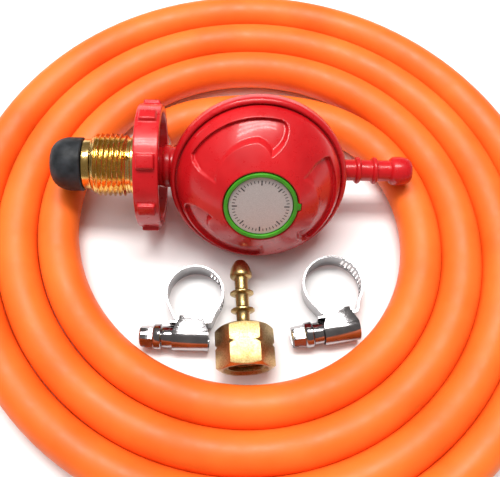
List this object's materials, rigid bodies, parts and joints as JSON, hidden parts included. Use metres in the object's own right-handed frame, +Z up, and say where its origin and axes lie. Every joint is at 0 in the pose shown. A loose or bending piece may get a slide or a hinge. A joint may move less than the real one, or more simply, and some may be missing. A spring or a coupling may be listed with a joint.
{
  "type": "propane regulator hose",
  "caption": "Low-pressure propane regulator with a hand wheel nut, laid inside a coiled orange gas hose with loose worm-drive clips and a hexagon hose nozzle.",
  "frame": {"origin": "on the floor, under the middle of the box around everything that lies inside the coil", "axes": "+Z up from the floor, +X along the gas line from the bottle side to the hose side, +Y away from the two clips towards the regulator"},
  "size_m": [0.2292, 0.235, 0.0557],
  "materials": {
    "red": "gloss paint on a zinc casting",
    "brass": "bright turned brass",
    "seal_rubber": "matt black nitrile",
    "steel": "zinc-plated steel",
    "clip_steel": "polished stainless steel",
    "green": "moulded green plastic",
    "label": "printed foil, left bare",
    "hose": "smooth satin rubber cover"
  },
  "bodies": {
    "hose": {"hose_coil": "hose"},
    "regulator": {"lower_body": "red", "upper_cover": "red", "diaphragm": "seal_rubber", "main_spring": "steel", "valve_seat": "brass", "lever_pin": "steel", "inlet_spindle": "brass", "inlet_filter": "steel", "spindle_oring": "seal_rubber", "nose_seal": "seal_rubber"},
    "cap": {"label_cap": "green", "label_disc": "label"},
    "adjuster": {"adjuster_plug": "brass"},
    "diaphragm_stack": {"diaphragm_stem": "brass", "diaphragm_plate": "steel", "stem_retainer": "steel"},
    "lever": {"lever": "steel"},
    "valve": {"valve_pad": "seal_rubber", "valve_plunger": "brass"},
    "hand_nut": {"pol_nut": "brass", "handwheel": "red"},
    "clip_1": {"clip_1_band": "clip_steel", "clip_1_housing": "clip_steel"},
    "clip_1_drive": {"clip_1_screw": "clip_steel"},
    "clip_2": {"clip_2_band": "clip_steel", "clip_2_housing": "clip_steel"},
    "clip_2_drive": {"clip_2_screw": "clip_steel"},
    "nozzle": {"hose_nozzle": "brass"}
  },
  "joints": [
    {"name": "regulator_lift", "type": "slide", "parent": "hose", "child": "regulator", "axis": [0, 0, 1], "range_m": [0, 0.06]},
    {"name": "hand_nut_turn", "type": "hinge", "parent": "regulator", "child": "hand_nut", "pos_m": [-0.03623, 0.02403, 0.02454], "axis": [0.9988, 0.0279, -0.0394], "continuous": true},
    {"name": "cap_off", "type": "slide", "parent": "regulator", "child": "cap", "axis": [0.0447, -0.8413, 0.5387], "range_m": [0, 0.02]},
    {"name": "adjuster_turn", "type": "hinge", "parent": "regulator", "child": "adjuster", "pos_m": [0.00961, 0.00846, 0.03354], "axis": [0.0447, -0.8413, 0.5387], "range_deg": [-90, 90]},
    {"name": "diaphragm_rise", "type": "slide", "parent": "regulator", "child": "diaphragm_stack", "axis": [0.0447, -0.8413, 0.5387], "range_m": [0, 0.0015], "stiffness_N_per_m": 300, "springref_m": -0.002, "deforming": ["main_spring", "diaphragm"]},
    {"name": "lever_rock", "type": "hinge", "parent": "regulator", "child": "lever", "pos_m": [-0.00251, 0.02961, 0.02023], "axis": [0.0181, 0.5398, 0.8416], "range_deg": [-9, 0]},
    {"name": "valve_close", "type": "slide", "parent": "regulator", "child": "valve", "axis": [0.9988, 0.0279, -0.0394], "range_m": [-0.0009, 0]},
    {"name": "clip_1_lift", "type": "slide", "parent": "hose", "child": "clip_1", "axis": [0, 0, 1], "range_m": [0, 0.06]},
    {"name": "clip_1_screw_turn", "type": "hinge", "parent": "clip_1", "child": "clip_1_drive", "pos_m": [-0.01291, -0.03501, 0.0048], "axis": [1, 0, 0], "continuous": true},
    {"name": "clip_2_lift", "type": "slide", "parent": "hose", "child": "clip_2", "axis": [0, 0, 1], "range_m": [0, 0.06]},
    {"name": "clip_2_screw_turn", "type": "hinge", "parent": "clip_2", "child": "clip_2_drive", "pos_m": [0.04086, -0.0305, 0.0048], "axis": [0.9799, 0.1994, 0], "continuous": true},
    {"name": "nozzle_lift", "type": "slide", "parent": "hose", "child": "nozzle", "axis": [0, 0, 1], "range_m": [0, 0.06]}
  ],
  "couplings": [
    {"joint": "lever_rock", "follows": "diaphragm_rise", "rad_per_m": -90.909},
    {"joint": "valve_close", "follows": "diaphragm_rise", "ratio": -0.5}
  ]
}
